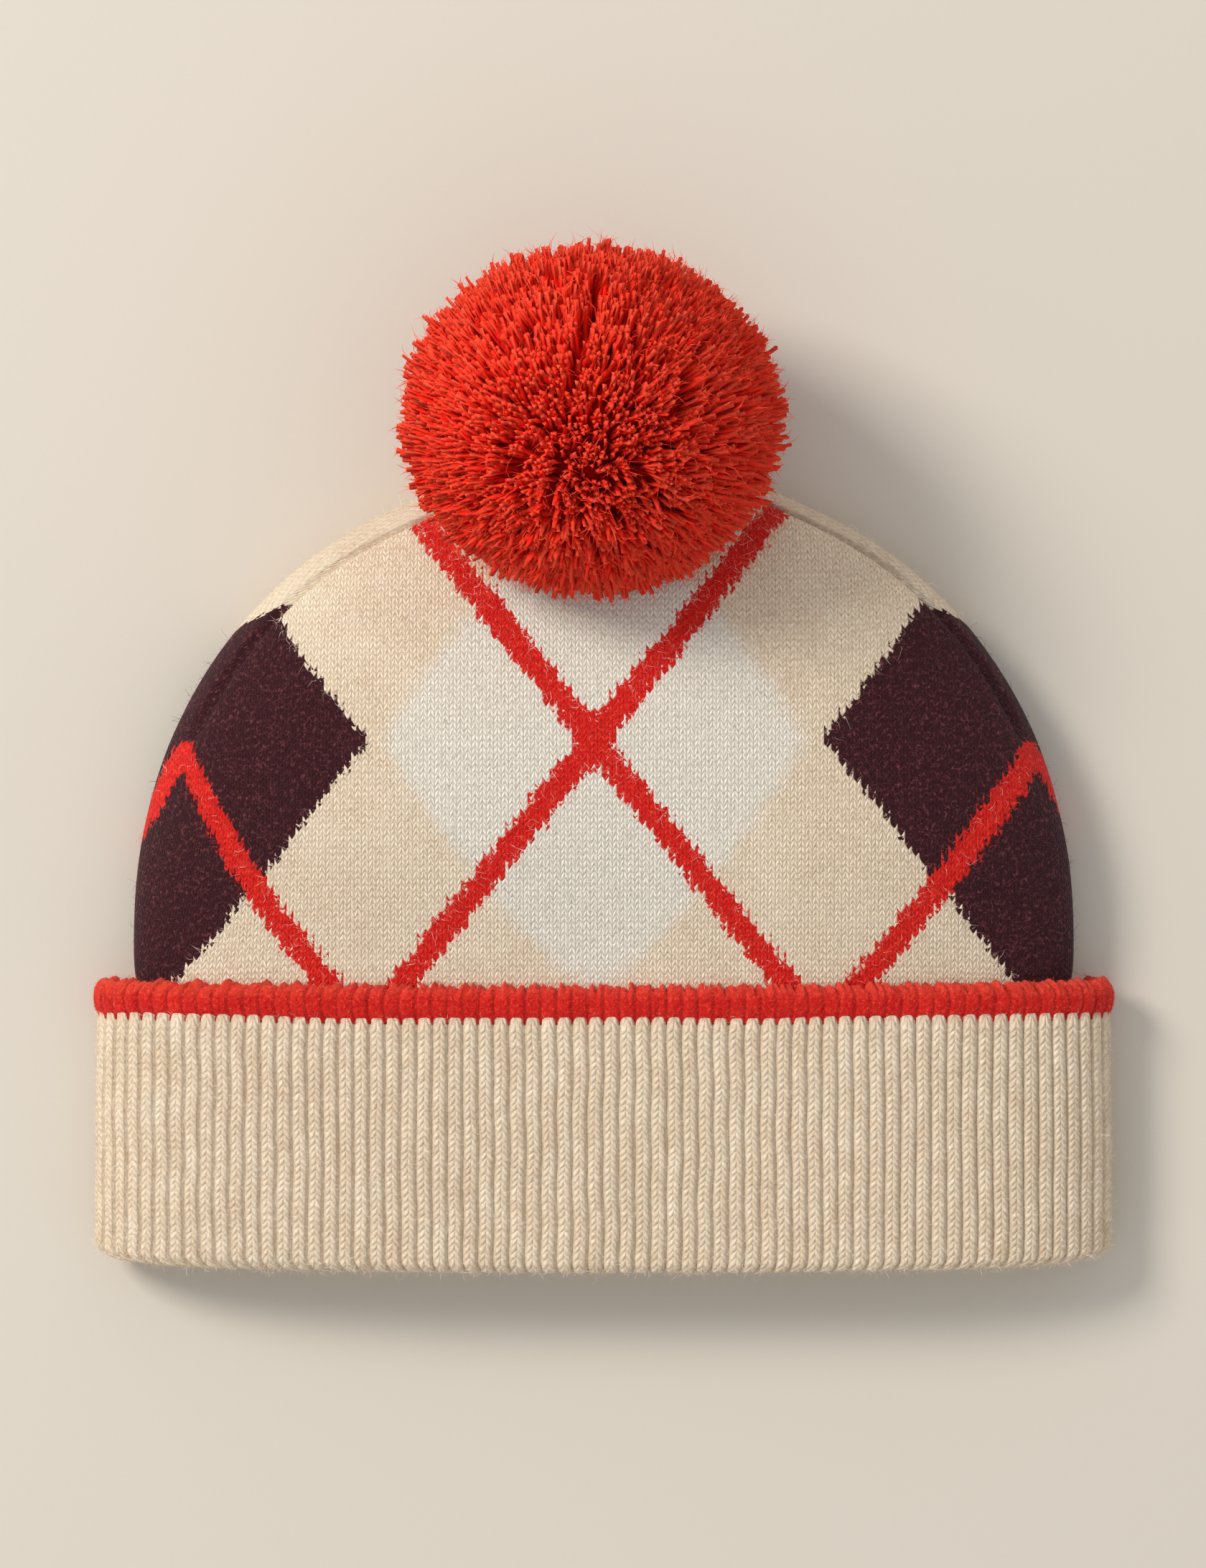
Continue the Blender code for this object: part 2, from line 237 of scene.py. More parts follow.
crown = {
    "table": [
        # height, halfWidth, top, edge, base, fullness
        (0.0603, 0.1090, 0.0224, 0.0085, 0.0036, 4.2),
        (0.0735, 0.1107, 0.0252, 0.0090, 0.0012, 4.0),
        (0.0985, 0.1090, 0.0310, 0.0095, 0.0, 3.6),
        (0.1245, 0.1014, 0.0328, 0.0096, 0.0, 3.3),
        (0.1475, 0.0878, 0.0310, 0.0096, 0.0, 3.0),
        (0.1660, 0.0690, 0.0272, 0.0094, 0.0, 2.8),
        (0.1790, 0.0460, 0.0222, 0.0092, 0.0008, 2.5),
        (0.1865, 0.0230, 0.0160, 0.0090, 0.0036, 2.2),
        (0.1890, 0.0, 0.0090, 0.0090, 0.0090, 2.2),
    ],
    "smoothing": 40,        # rows between two of the table
    "wall": 0.0022,
    "rows": 120,
    "shortOfTop": 0.0004,   # how far before the very top the last row is
    "frontColumns": 220,
    "backColumns": 110,
    "seamStart": 0.1215,
    "seamFade": 0.006,      # the height over which the groove gets its depth
    "leftInset": 0.0054,    # how far inside the outline a seam runs
    "rightInset": 0.0034,
    "seamDepth": 0.0022,
    "seamWidth": 0.0010,
    "unevenness": 0.0004,
    "waveLength": 0.07,
    "quietColumns": 12,     # beside a seam, where the unevenness fades
    "wale": 0.00198,        # one stitch across and one along
    "course": 0.00166,
    "frontMiddle": -0.0022,
    "finer": 1.15,          # how many stitches show for each one of the pattern
    # Rows stand higher in the middle of the front: how much, how far out, how flat
    "rowBow": (0.0028, 0.11, 4),
    # Its right side is pulled up: how far, where, how wide, and from what height over what height
    "rightLift": (0.0026, 0.076, 0.018),
    "liftHeights": (0.095, 0.020),
    # Stitches are drawn together at its left side: how many, where, how suddenly, and the heights
    "leftPull": (3.8, 0.099, 6),
    "pullHeights": (0.070, 0.035),
    "backRise": 0.34,       # how much closer the rows of the back lie above the seam's start
    "heather": 1000,        # waves to a metre in the wool's colour, and in its slow changes
    "clouds": 45,
    "lean": 0.8,            # how steep the legs of a stitch are
    # Unevenness of the rows and of the colours' edges: waves to a metre, detail, stitches, roughness
    "looseRows": (420, 2, 0.8),
    "strayAcross": (340, 2, 2.6),
    "hairAcross": (2000, 3, 1.0, 0.8),
    "strayAlong": (290, 2, 2.6),
    "bump": 0.50,
    "relief": 0.0007,
}
argyle = {
    # All in stitches and rows
    "quarter": 54,          # from the middle of the front to its side
    "crossRow": 72.3,
    "slope": 2 / 3,         # two stitches over for three rows up
    "lineHalf": 1.9,
    "knot": (2.7, 4.2),     # the red is wider where two lines cross
    "peakTop": 1.6,         # the lines end this far above the crossing row, at the side and in front
    "crossTop": 38,
    "creamHalf": 25,
    "creamRise": 36,
    "creamRound": 1.15,
    "creamReach": 1.04,
    "creamEdge": 9.0,       # how sharply it ends
    "darkHalf": 27.3,
    "darkRise": 39,
}


# Shader maths is written as expressions on sockets

class Value:
    def __init__(self, maker, socket):
        self.maker = maker
        self.socket = socket

    def calc(self, operation, *others, clamp=False):
        inputs = dict(enumerate((self, *others)))
        return self.maker.node("ShaderNodeMath", {"operation": operation, "use_clamp": clamp}, inputs)

    def __add__(self, other):
        return self.calc("ADD", other)

    def __radd__(self, other):
        return self.calc("ADD", other)

    def __sub__(self, other):
        return self.calc("SUBTRACT", other)

    def __rsub__(self, other):
        return self.calc("MULTIPLY", -1).calc("ADD", other)

    def __mul__(self, other):
        return self.calc("MULTIPLY", other)

    def __rmul__(self, other):
        return self.calc("MULTIPLY", other)

    def __truediv__(self, other):
        return self.calc("DIVIDE", other)

    def __pow__(self, other):
        return self.calc("POWER", other)

    def __abs__(self):
        return self.calc("ABSOLUTE")

    def __lt__(self, other):
        return self.calc("LESS_THAN", other)

    def __gt__(self, other):
        return self.calc("GREATER_THAN", other)


class Finish:
    # One material and the nodes in it
    def __init__(self, name, roughness=0.95, sheen=0.08):
        self.material = bpy.data.materials.new(name)
        self.material.use_nodes = True
        self.tree = self.material.node_tree
        self.shader = self.tree.nodes["Principled BSDF"]
        self.shader.inputs["Roughness"].default_value = roughness
        self.shader.inputs["Sheen Weight"].default_value = sheen
        self.shader.inputs["Sheen Roughness"].default_value = 0.45
        self.shader.inputs["Specular IOR Level"].default_value = 0.2

    def put(self, socket, value):
        if isinstance(value, Value):
            self.tree.links.new(value.socket, socket)
        else:
            socket.default_value = value

    def node(self, kind, settings=None, inputs=None, out=0):
        made = self.tree.nodes.new(kind)
        for name, value in (settings or {}).items():
            setattr(made, name, value)
        for name, value in (inputs or {}).items():
            self.put(made.inputs[name], value)
        return Value(self, made.outputs[out])

    def place(self):
        # Object coordinates
        return self.node("ShaderNodeTexCoord", out=3)

    def stitches(self):
        # Across and along the knitting, one to a stitch
        uv = self.node("ShaderNodeUVMap", {"uv_map": "stitches"})
        across = self.node("ShaderNodeSeparateXYZ", inputs={0: uv})
        return across, Value(self, across.socket.node.outputs[1])

    def noise(self, scale, detail=3.0, stretch=(1, 1, 1), rough=0.6):
        where = self.node("ShaderNodeMapping", inputs={"Vector": self.place(), "Scale": stretch})
        wanted = {"Vector": where, "Scale": scale, "Detail": detail, "Roughness": rough}
        return self.node("ShaderNodeTexNoise", inputs=wanted)

    def stray(self, scale, detail, width, rough=0.6):
        # Noise about zero
        return (self.noise(scale, detail, rough=rough) - 0.5) * width

    def perStitch(self, across, along):
        where = self.node("ShaderNodeCombineXYZ", inputs={0: across, 1: along})
        return self.node("ShaderNodeTexWhiteNoise", {"noise_dimensions": "2D"}, {"Vector": where})

    def mixed(self, share, first, second, how="MIX"):
        settings = {"data_type": "RGBA", "blend_type": how}
        return self.node("ShaderNodeMix", settings, {0: share, 6: first, 7: second}, out=2)

    def dimmed(self, colour, light):
        # The colour times a number that changes over the surface
        grey = self.node("ShaderNodeCombineColor", inputs={0: light, 1: light, 2: light})
        return self.mixed(1.0, colour, grey, "MULTIPLY")

    def finish(self, colour, height, bump, distance=0.0005):
        self.put(self.shader.inputs["Base Color"], colour)
        wanted = {"Strength": bump, "Distance": distance, "Height": height}
        self.put(self.shader.inputs["Normal"], self.node("ShaderNodeBump", inputs=wanted))
        return self.material


def floorOf(value):
    return value.calc("FLOOR") if isinstance(value, Value) else np.floor(value)


def held(value):
    # Kept between 0 and 1
    return value.calc("ADD", 0.0, clamp=True) if isinstance(value, Value) else np.clip(value, 0, 1)


def argyleMasks(wale, course):
    # Where the cream, the dark and the red are, in stitches from the middle of the front
    half = argyle["quarter"] * 2
    wide = half - abs(abs(wale) - half)
    fromMiddle = argyle["quarter"] - abs(wide - argyle["quarter"])
    fromSide = argyle["quarter"] - fromMiddle
    rise = course - argyle["crossRow"]
    power = argyle["creamRound"]
    reach = (fromMiddle / argyle["creamHalf"]) ** power + (abs(rise) / argyle["creamRise"]) ** power
    cream = held((argyle["creamReach"] - reach) * argyle["creamEdge"])
    dark = (fromSide / argyle["darkHalf"] + abs(rise) / argyle["darkRise"]) < 1.0
    cross = abs(fromMiddle - abs(rise) * argyle["slope"]) < argyle["lineHalf"]
    knot = (fromMiddle / argyle["knot"][0] + abs(rise) / argyle["knot"][1]) < 1.0
    peak = (abs(fromSide + rise * argyle["slope"]) < argyle["lineHalf"]) * (rise < argyle["peakTop"])
    cross = cross * (rise < argyle["crossTop"])
    return cream, dark * 1.0, held(cross * 1.0 + knot * 1.0 + peak * 1.0)


def vLegs(across, along, lean):
    # The two legs of each stitch: its column, which leg, its row and how high its wool stands
    column = floorOf(across)
    share = across - column
    leg = share > 0.5
    sideways = abs(share * 2.0 - 1.0)
    leaned = along - sideways * lean
    row = floorOf(leaned)
    roundness = ((leaned - row) * math.pi).calc("SINE")
    width = 1.0 - abs(sideways * 2.0 - 1.0) ** 3.0
    return column, leg, row, roundness * width


yarns = {
    "oatmeal": linear(245, 228, 203),
    "oatmealDeep": linear(224, 199, 168),
    "cream": linear(246, 239, 226),
    "creamDeep": linear(228, 219, 202),
    "dark": linear(58, 22, 28),
    "darkFibre": linear(132, 70, 74),
    "red": linear(238, 44, 34),
    "redDeep": linear(204, 18, 16),
    "redPale": linear(252, 96, 68),
    "rib": linear(242, 223, 197),
    "ribDeep": linear(222, 196, 164),
    "ribPale": linear(250, 240, 225),
    "pompom": linear(252, 32, 10),
    # The two deepest pompom reds are painted shade, at the strands' roots and in the heart; the deep red
    # also mottles the tie thread at random
    "pompomDeep": linear(192, 8, 2),
    "pompomTip": linear(255, 88, 58),
    "pompomHeartShade": linear(176, 12, 4),
}


def crownFinish():
    say("crown finish")
    f = Finish("crownKnit")
    across, along = f.stitches()
    fine = crown["finer"]
    loose = f.stray(*crown["looseRows"])
    column, leg, row, wool = vLegs(across * fine, along * fine + loose, crown["lean"])
    sideways = f.stray(*crown["strayAcross"]) + f.stray(*crown["hairAcross"])
    lengthways = f.stray(*crown["strayAlong"])
    cream, dark, red = argyleMasks((column + 0.5) / fine + sideways, (row + 0.5) / fine + lengthways)
    chance = f.perStitch(column + leg * 0.5, row)
    heather = f.noise(crown["heather"], 4, rough=0.75)
    cloudy = f.noise(crown["clouds"], 2)
    mottled = held((heather - 0.33) * 2.6)
    ground = f.mixed(mottled, yarns["oatmealDeep"], yarns["oatmeal"])
    ground = f.mixed(held((cloudy - 0.42) * 2.2), ground, yarns["oatmeal"])
    pale = f.mixed(mottled, yarns["creamDeep"], yarns["cream"])
    colour = f.mixed(cream * 0.95, ground, pale)
    fleck = held((heather - 0.53) * 6.0)
    colour = f.mixed(dark, colour, f.mixed(fleck * 0.85, yarns["dark"], yarns["darkFibre"]))
    redWool = f.mixed(held((heather - 0.3) * 2.2), yarns["redDeep"], yarns["red"])
    redWool = f.mixed(fleck * 0.35, redWool, yarns["redPale"])
    colour = f.mixed(red, colour, redWool)
    # Painted highlight on the loops, painted shade in the holes between them, and tone that is uneven from
    # stitch to stitch and in the heather
    paintedHoleShade = held((0.30 - wool) * 5.0) * held((chance - 0.35) * 2.5)
    paintedLightAndTone = 0.86 + held(wool * 1.3) * 0.22 + (chance - 0.5) * 0.14 + (heather - 0.5) * 0.34 - paintedHoleShade * 0.34
    felt = f.noise(1700, 3, stretch=(1, 0.5, 1), rough=0.7)
    height = wool * 0.8 + felt * 0.6 + heather * 0.35
    return f.finish(f.dimmed(colour, paintedLightAndTone), height, crown["bump"], crown["relief"])


def crownRows():
    # The sections of the crown, evenly spaced along its outline
    dense = smoothRows(tableRows(crown["table"]), crown["smoothing"])
    values = {name: np.array([one[name] for one in dense]) for name in fields}
    steps = np.hypot(np.diff(values["halfWidth"]), np.diff(values["height"]))
    travelled = np.concatenate([[0], np.cumsum(steps)])
    spots = np.linspace(0, travelled[-1] - crown["shortOfTop"], crown["rows"])
    picked = {name: np.interp(spots, travelled, values[name]) for name in fields}
    return [{name: picked[name][k] for name in fields} for k in range(crown["rows"])]


def seamLine(rows, inset):
    # How far out the seam runs at each row, a little inside the outline
    out = np.array([row["halfWidth"] for row in rows])
    up = np.array([row["height"] for row in rows])
    alongOut, alongUp = np.gradient(out), np.gradient(up)
    size = np.hypot(alongOut, alongUp)
    insideOut = out - inset * alongUp / size
    insideUp = up + inset * alongOut / size
    return np.maximum(np.interp(up, insideUp, insideOut), out * 0.35)


def seamedRow(row, outline, travelled, distance, fromSeam):
    # One row of a panel, sunk beside its seams
    spots, outwards = alongRing(outline, travelled, distance)
    seamed = comingIn(row["height"], crown["seamStart"], crown["seamFade"])
    groove = seamed * crown["seamDepth"] * np.exp(-(fromSeam / crown["seamWidth"]) ** 2)
    spots = spots - outwards * groove[:, None]
    return layOnTable(spots[:, 0], np.full(len(spots), row["height"]), spots[:, 1])


def frontStitchRow(height, middle):
    # The stitch at each place of a row, from how far the place is from the middle of the front
    bow, bowReach, bowPower = crown["rowBow"]
    rise = bow * np.maximum(0, 1 - (middle / bowReach) ** bowPower)
    lift, liftMiddle, liftWidth = crown["rightLift"]
    lift *= comingIn(height, *crown["liftHeights"])
    rise += lift * np.exp(-((middle - liftMiddle) / liftWidth) ** 2)
    pulled, pulledAt, pulledPower = crown["leftPull"]
    pulled *= comingIn(height, *crown["pullHeights"])
    wales = (middle - crown["frontMiddle"]) / crown["wale"]
    wales -= pulled * (np.maximum(0, -middle) / pulledAt) ** pulledPower
    return np.stack([wales, (height - rise) / crown["course"]], axis=1)


def makeCrown():
    say("crown")
    rows = crownRows()
    draw = np.random.default_rng(3)
    right, left = seamLine(rows, crown["rightInset"]), seamLine(rows, crown["leftInset"])
    halfRound = 2 * argyle["quarter"]
    front, frontStitches, back, backStitches = [], [], [], []
    startPitch = None
    for k, row in enumerate(rows):
        outline, travelled = ring(row)
        whole = travelled[-1]
        upper = outline[:, 1] >= row["edge"]
        toRight = np.interp(-right[k], -outline[upper, 0], travelled[upper])
        toLeft = np.interp(left[k], -outline[upper, 0], travelled[upper])

        across = np.linspace(toLeft, toRight, crown["frontColumns"])
        fromSeam = np.minimum(toLeft - across, across - toRight)
        front.append(seamedRow(row, outline, travelled, across, fromSeam))
        frontStitches.append(frontStitchRow(row["height"], whole / 2 - across))

        # The back goes on counting from the seams, at the pitch it has where they start
        wales = frontStitches[-1][:, 0]
        if row["height"] <= crown["seamStart"] or startPitch is None:
            startPitch = (toRight / (halfRound - wales[-1]), (whole - toLeft) / (halfRound + wales[0]))
        behind = np.linspace(toRight, toLeft - whole, crown["backColumns"])
        fromSeam = np.minimum(toRight - behind, behind - toLeft + whole)
        back.append(seamedRow(row, outline, travelled, behind % whole, fromSeam))
        wales = halfRound - behind / np.where(behind > 0, *startPitch)
        raised = row["height"] + crown["backRise"] * max(0.0, row["height"] - crown["seamStart"])
        courses = np.full(len(behind), raised / crown["course"])
        backStitches.append(np.stack([wales, courses], axis=1))
    front, back = np.array(front), np.array(back)
    frontStitches, backStitches = np.array(frontStitches), np.array(backStitches)
    wave = ripple(front[..., 0], front[..., 1], front[..., 2], crown["waveLength"], draw)
    wave *= crown["unevenness"]
    quiet = np.minimum(1, np.arange(front.shape[1]) / crown["quietColumns"])
    front[..., 2] += wave * quiet * quiet[::-1]
    panels = [knitGrid("frontPanel", front, frontStitches), knitGrid("backPanel", back, backStitches)]
    knit = closeSeams(joinPieces(panels, "crown_knit"))
    giveWall(knit, crown["wall"])
    finishPiece(knit, crownFinish(), "crown_knit", "crown")
    return (front, frontStitches), (back, backStitches)


# Cuff and its coloured edge

cuff = {
    "outside": [
        # height, halfWidth, top, edge, base, fullness
        (tippingFoot, 0.1195, 0.0262, 0.0080, 0.0, 4.6),
        (0.0031, 0.1200, 0.0250, 0.0078, 0.0, 4.6),
    ],
    "lining": [
        (0.0031, 0.1166, 0.0214, 0.0078, 0.0036, 4.6),
        (0.0300, 0.1120, 0.0222, 0.0082, 0.0036, 4.4),
        (0.0600, 0.1090, 0.0224, 0.0085, 0.0036, 4.2),
    ],
    "outsideRows": 26,
    "foldStep": 18,         # degrees
    "liningRows": 6,        # in each of its two parts
    "fuzzyRows": 36,        # from the top of the outside to the inside of the fold
    "wall": 0.0030,
    "liningWall": 0.0026,
    "slotFoot": 0.0034,     # how far down the gap for the crown goes
    "ribs": 136,
    "ribShape": (0.0, 0.66, 0.92, 1.0, 1.0, 1.0, 0.92, 0.66),
    "depth": 0.0009,
    "liningDepth": 0.0008,
    "rowHeight": 0.00165,
    "scallop": 0.0017,      # the ribs' round ends over the coloured edge
    "wander": 0.00022,      # how far a rib strays from a straight line, and how deep the dents are
    "wanderLength": 0.022,
    "dentLength": 0.05,
    "dentsAbove": 0.006,    # nearer the table there are none
    "fuzzy": 0.15,
    "heather": 1200,        # waves to a metre in the wool's colour
    "streaks": 260,
    # Unevenness of the stitches, as on the crown
    "strayAcross": (90, 2, 0.25),
    "strayAlong": (160, 2, 0.9),
    "lean": 0.95,
    "bump": 0.62,
    "relief": 0.0009,
}


def between(first, second, count):
    return [mixRows(first, second, share) for share in np.linspace(0, 1, count)]


def ribbedLoop(row, turn, depth):
    # A ring of ribs. The turn is how far the band has turned over the fold
    columns = cuff["ribs"] * len(cuff["ribShape"])
    outline, travelled = ring(row)
    spots, outwards = alongRing(outline, travelled, np.arange(columns + 1) / columns * travelled[-1])
    outwards[-1] = outwards[0]
    crest = np.resize(cuff["ribShape"], columns + 1)
    sunk = depth * (1 - crest)
    spots = spots - outwards * (math.cos(turn) * sunk)[:, None]
    height = np.full(columns + 1, row["height"]) + math.sin(turn) * sunk
    return spots, height, crest


def profileLoops(profile):
    # Rows of the band's profile as one closed grid: row, turn, depth, and how far the rib ends reach up
    points = []
    for row, turn, depth, lift in profile:
        spots, height, crest = ribbedLoop(row, turn, depth)
        points.append(layOnTable(spots[:, 0], height + lift * (crest - 0.5), np.maximum(spots[:, 1], 0)))
    points = np.array(points + points[:1])
    middle = points[:, points.shape[1] // 2]
    along = np.concatenate([[0], np.cumsum(np.linalg.norm(np.diff(middle, axis=0), axis=1))])
    ribs = np.arange(points.shape[1]) / len(cuff["ribShape"])
    stitches = np.stack(np.meshgrid(ribs, -along / cuff["rowHeight"]), axis=-1)
    return points, stitches


def ribFinish(name, tones, fuzzy, paler=None):
    # Deep, usual and pale wool in ribs. The last says where it gets paler, and over what length
    say(name)
    f = Finish(name)
    across, along = f.stitches()
    across = across + f.stray(*cuff["strayAcross"])
    along = along + f.stray(*cuff["strayAlong"])
    column = floorOf(across)
    share = across - column
    phase = abs(share * 2.0 - 1.0)
    crest = held((0.93 - phase) * 3.4)
    leaned = along + phase * cuff["lean"]
    row = floorOf(leaned)
    leg = ((leaned - row) * math.pi).calc("SINE") * (1.0 - abs(phase * 2.0 - 0.9) ** 3.0)
    chance = f.perStitch(column + (share > 0.5) * 0.5, row)
    heather = f.noise(cuff["heather"], 4, rough=0.75)
    streaks = f.noise(cuff["streaks"], 3, stretch=(1, 0.35, 1))
    mottled = held((streaks * 0.5 + heather * 0.5 - 0.37) * 3.6)
    colour = f.mixed(mottled, tones[0], tones[1])
    colour = f.mixed(held((heather - 0.55) * 6.0) * 0.7, colour, tones[2])
    if paler:
        start, over = paler
        place = f.node("ShaderNodeSeparateXYZ", inputs={0: f.place()}, out=1)
        pale = held((place - start) / over + (heather - 0.5) * 1.2)
        colour = f.mixed(pale * 0.8, colour, tones[2])
    # Painted light on the rib crests and the legs of the stitches, painted shade in the valleys between
    # ribs and in the holes; the rest is tone uneven from stitch to stitch and in the heather
    paintedHoleShade = held((phase - 0.80) * 6.0) * held(0.9 - leg) * held((chance - 0.25) * 2.0)
    paintedLightAndTone = 0.90 + crest * 0.08 + held(leg * crest) * 0.13 + (chance - 0.5) * 0.14 + (heather - 0.5) * 0.36
    height = leg * crest * (0.9 - 0.5 * fuzzy) + heather * (0.6 + 1.6 * fuzzy) + crest * 0.2
    return f.finish(f.dimmed(colour, paintedLightAndTone - paintedHoleShade * 0.30), height, cuff["bump"], cuff["relief"])


def makeCuff():
    say("cuff")
    outside, lining = tableRows(cuff["outside"]), tableRows(cuff["lining"])
    foot = outside[1]
    inner = [insetRow(row, cuff["liningWall"]) for row in lining]
    profile = []
    for k, row in enumerate(between(outside[0], foot, cuff["outsideRows"])):
        profile.append((row, 0.0, cuff["depth"], cuff["scallop"] if k == 0 else 0.0))
    for degrees in range(cuff["foldStep"], 180, cuff["foldStep"]):
        turn = math.radians(degrees)
        row = mixRows(foot, inner[0], (1 - math.cos(turn)) / 2)
        row["height"] = foot["height"] * (1 - math.sin(turn))
        profile.append((row, turn, cuff["depth"], 0.0))
    for first, second in zip(inner, inner[1:]):
        rows = between(first, second, cuff["liningRows"])
        profile += [(row, math.pi, cuff["liningDepth"], 0.0) for row in rows]
    # Down behind the lining, across the foot of the gap and up behind the outside
    hidden = [
        lining[2],
        lining[1],
        dict(lining[0], height=cuff["slotFoot"]),
        dict(insetRow(foot, cuff["wall"]), height=cuff["slotFoot"]),
        insetRow(outside[0], cuff["wall"]),
    ]
    profile += [(row, 0.0, 0.0, 0.0) for row in hidden]
    points, stitches = profileLoops(profile)
    draw = np.random.default_rng(4)
    x, y, z = (points[..., k].copy() for k in range(3))
    points[..., 0] += ripple(x, y, z, cuff["wanderLength"], draw) * cuff["wander"]
    dents = ripple(x, y, z, cuff["dentLength"], draw) * cuff["wander"]
    points[..., 2] += dents * (z > cuff["dentsAbove"])
    knit = closeSeams(knitGrid("cuff_knit", points, stitches))
    tones = (yarns["ribDeep"], yarns["rib"], yarns["ribPale"])
    finishPiece(knit, ribFinish("cuffKnit", tones, cuff["fuzzy"]), "rib_knit", "cuff")
    return points[:cuff["fuzzyRows"]], stitches[:cuff["fuzzyRows"]]


tipping = {
    "profile": [
        # how far up each row is, and how far in from the outside of the cuff
        (-0.0010, 0.0006), (0.0002, 0.0003), (0.0012, -0.0003), (0.0024, -0.0006), (0.0036, -0.0007),
        (0.0048, -0.0007), (0.0060, -0.0004), (0.0069, 0.0002), (0.0075, 0.0009), (0.0078, 0.0016),
        (0.0074, 0.0023), (0.0060, 0.0029), (0.0030, 0.0031), (0.0, 0.0031),
    ],
    "ribbedInset": 0.002,   # further in than this it has no ribs
    "fuzzyRows": 12,
    "depth": 0.00035,
    "ragged": 0.00035,      # how far each wave of its upper edge goes
    "waves": (61, 149, 211, 263, 331),
    "fuzzy": 0.85,
    "palerFrom": 0.0035,
    "palerOver": 0.0060,
}


def makeTipping():
    say("tipping")
    draw = np.random.default_rng(5)
    end = tableRows(cuff["outside"])[0]
    profile = []
    for rise, inset in tipping["profile"]:
        row = dict(insetRow(end, inset), height=tippingFoot + rise)
        row["base"] = max(0.0, inset)
        ribbed = inset < tipping["ribbedInset"] and rise > 0
        profile.append((row, 0.0, tipping["depth"] if ribbed else 0.0, 0.0))
    points, stitches = profileLoops(profile)
    top = np.array([max(0.0, rise / hat["tippingHeight"]) ** 2 for rise, _ in tipping["profile"]])
    top = np.append(top, top[0])[:, None]
    along = np.arange(points.shape[1]) / (points.shape[1] - 1) * 2 * np.pi
    for waves in tipping["waves"]:
        ragged = np.sin(waves * along + draw.uniform(0, 6.3)) * tipping["ragged"]
        points[..., 1] += top * ragged
    knit = closeSeams(knitGrid("tipping_knit", points, stitches))
    tones = (yarns["redDeep"], yarns["red"], yarns["redPale"])
    paler = (foldY + tippingFoot + tipping["palerFrom"], tipping["palerOver"])
    material = ribFinish("tippingKnit", tones, tipping["fuzzy"], paler)
    finishPiece(knit, material, "tipping_knit", "cuff_tipping")
    return points[:tipping["fuzzyRows"]], stitches[:tipping["fuzzyRows"]]


# Pompom

pompom = {
    "middle": (-0.0027, 0.0768, 0.0410),
    "size": (0.0905, 0.0825, 0.0820),
    "core": (-0.0050, 0.0664, 0.0350),  # where the strands come from
    "strands": 9600,
    "sides": 3,
    "clumps": 560,
    "clumping": 0.42,       # how far a strand leans to its clump
    "clumpUneven": 0.35,
    "thick": 0.00070,       # half the width of a usual strand, and how it varies
    "thickness": (0.75, 1.25),
    # Where the rings of a strand are, how wide, and how far from the deep red, painted shade near the
    # core, to the pale yarn at the tips
    "along": (0.50, 0.74, 0.90, 1.0),
    "width": (0.80, 1.0, 1.02, 0.78),
    "tone": (0.05, 0.34, 0.60, 0.82),
    "toneUneven": 0.09,
    "reach": 0.945,         # how far a usual strand reaches out to the ball
    "uneven": 0.062,
    "longest": 1.04,
    "sway": 0.0016,
    "rise": 0.0090,         # the strands stand up before they bend over
    "overCrown": 0.0008,
    "overTable": 0.0006,
    "deepest": 0.030,       # a strand that would end deeper in the hat is left out
    "heartShare": 0.78,
    "heartLumps": 0.04,
    "partings": [
        # place on the ball, which way it runs, how wide, how deep
        ((-0.04, 0.54, 0.82), (1.0, -0.2, 0.0), 0.10, 0.035),
        ((0.52, 0.14, 0.85), (0.3, 0.9, 0.0), 0.09, 0.060),
        ((-0.44, -0.32, 0.85), (0.7, 0.6, 0.0), 0.08, 0.045),
        ((0.28, -0.36, 0.88), (0.6, -0.8, 0.0), 0.08, 0.045),
    ],
    "morePartings": 30,
    "partingWidths": (0.05, 0.09),
    "partingDepths": (0.012, 0.032),
    "partingLength": 1.9,   # for each width
    "fibres": 13000,
    "fibreLengths": (0.0006, 0.0019),
    "fibreWidths": (0.00012, 0.00026),
    "fibreFoot": 0.0012,    # how far below the strand's end it starts
    "fibreTones": (0.55, 1.0),
}
# From painted shade at the strands' roots through their own red to their pale tips
pompomTones = (yarns["pompomDeep"], yarns["pompom"], yarns["pompomTip"])


def evenWays(count, draw):
    # Directions spread evenly over a ball, then shaken
    shake = 0.6
    k = np.arange(count) + 0.5
    up = 1 - 2 * k / count
    turn = np.pi * (1 + 5**0.5) * k
    flat = np.sqrt(1 - up**2)
    ways = np.stack([flat * np.cos(turn), flat * np.sin(turn), up], axis=1)
    ways += draw.normal(size=ways.shape) * shake / math.sqrt(count)
    return ways / np.linalg.norm(ways, axis=1, keepdims=True)


def crownCeiling(x, y):
    # How high the front of the crown stands at a place on the table
    rows = crownRows()
    up = np.array([row["height"] for row in rows])
    height = y - foldY
    row = {name: np.interp(height, up, [one[name] for one in rows]) for name in fields}
    reach = np.clip(np.abs(x) / np.maximum(row["halfWidth"], 1e-4), 0, 1)
    rise = (row["top"] - row["edge"]) * np.sqrt(1 - reach ** row["fullness"])
    return np.where((reach < 1) & (height < hat["crownTop"]), row["edge"] + rise, 0.0)


